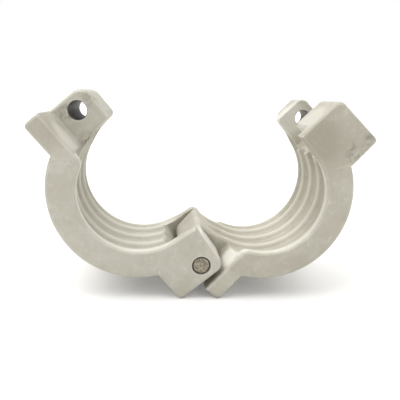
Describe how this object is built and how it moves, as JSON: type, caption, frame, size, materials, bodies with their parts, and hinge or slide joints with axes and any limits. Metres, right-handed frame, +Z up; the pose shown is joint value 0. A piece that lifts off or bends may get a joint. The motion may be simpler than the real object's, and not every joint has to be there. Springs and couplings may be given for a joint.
{
  "type": "hose safety clamp",
  "caption": "Hinged two-part safety clamp that closes round a hose on its hose tail and hooks behind the tail's collar, standing open on its hinge lugs.",
  "frame": {"origin": "under the hinge pin, at the middle of the clamp's length along the bore, on the surface it stands on", "axes": "+Z up; +Y along the bores and the pin, from the collar side to the wide hose mouth; +X from the half with the fork at the hinge to the half with the tongue at the hinge"},
  "size_m": [0.1478, 0.065, 0.0906],
  "materials": {
    "casting": "matt blasted casting, lightly worn",
    "pin_steel": "dull steel with rough ends"
  },
  "bodies": {
    "left_half": {"left_half_shell": "casting", "hinge_pin": "pin_steel"},
    "right_half": {"right_half_shell": "casting"}
  },
  "joints": [
    {"name": "clamp_hinge", "type": "hinge", "parent": "left_half", "child": "right_half", "pos_m": [0, 0, 0.01642], "axis": [0, 1, 0], "range_deg": [-82, 22]}
  ]
}
